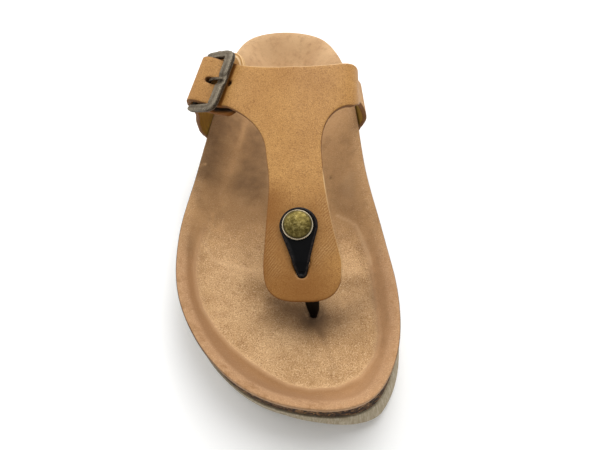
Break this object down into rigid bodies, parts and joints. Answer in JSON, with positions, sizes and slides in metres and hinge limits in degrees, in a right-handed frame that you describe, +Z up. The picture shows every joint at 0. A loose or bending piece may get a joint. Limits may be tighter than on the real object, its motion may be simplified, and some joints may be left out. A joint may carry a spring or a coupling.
{
  "type": "toe post sandal",
  "caption": "Toe post sandal for the right foot: cork footbed with suede liner, leather T-strap, side buckle and black toe post on a foam outsole.",
  "frame": {"origin": "centre of the sandal's footprint at floor level", "axes": "+Z up from the floor, +Y from toe to heel, +X towards the big toe's side"},
  "size_m": [0.1041, 0.262, 0.0827],
  "materials": {
    "outsole_foam": "matte",
    "cork": "matte",
    "suede": "matte",
    "strap_leather": "satin",
    "post_plastic": "satin",
    "cap_brass": "antique",
    "buckle_metal": "dark antique"
  },
  "bodies": {
    "root": {"outsole": "outsole_foam", "midsole": "cork", "insole": "suede", "t_strap": "strap_leather", "lateral_strap": "strap_leather", "toe_post": "post_plastic", "post_cap": "cap_brass", "buckle_frame": "buckle_metal", "buckle_prong": "buckle_metal"}
  },
  "joints": []
}
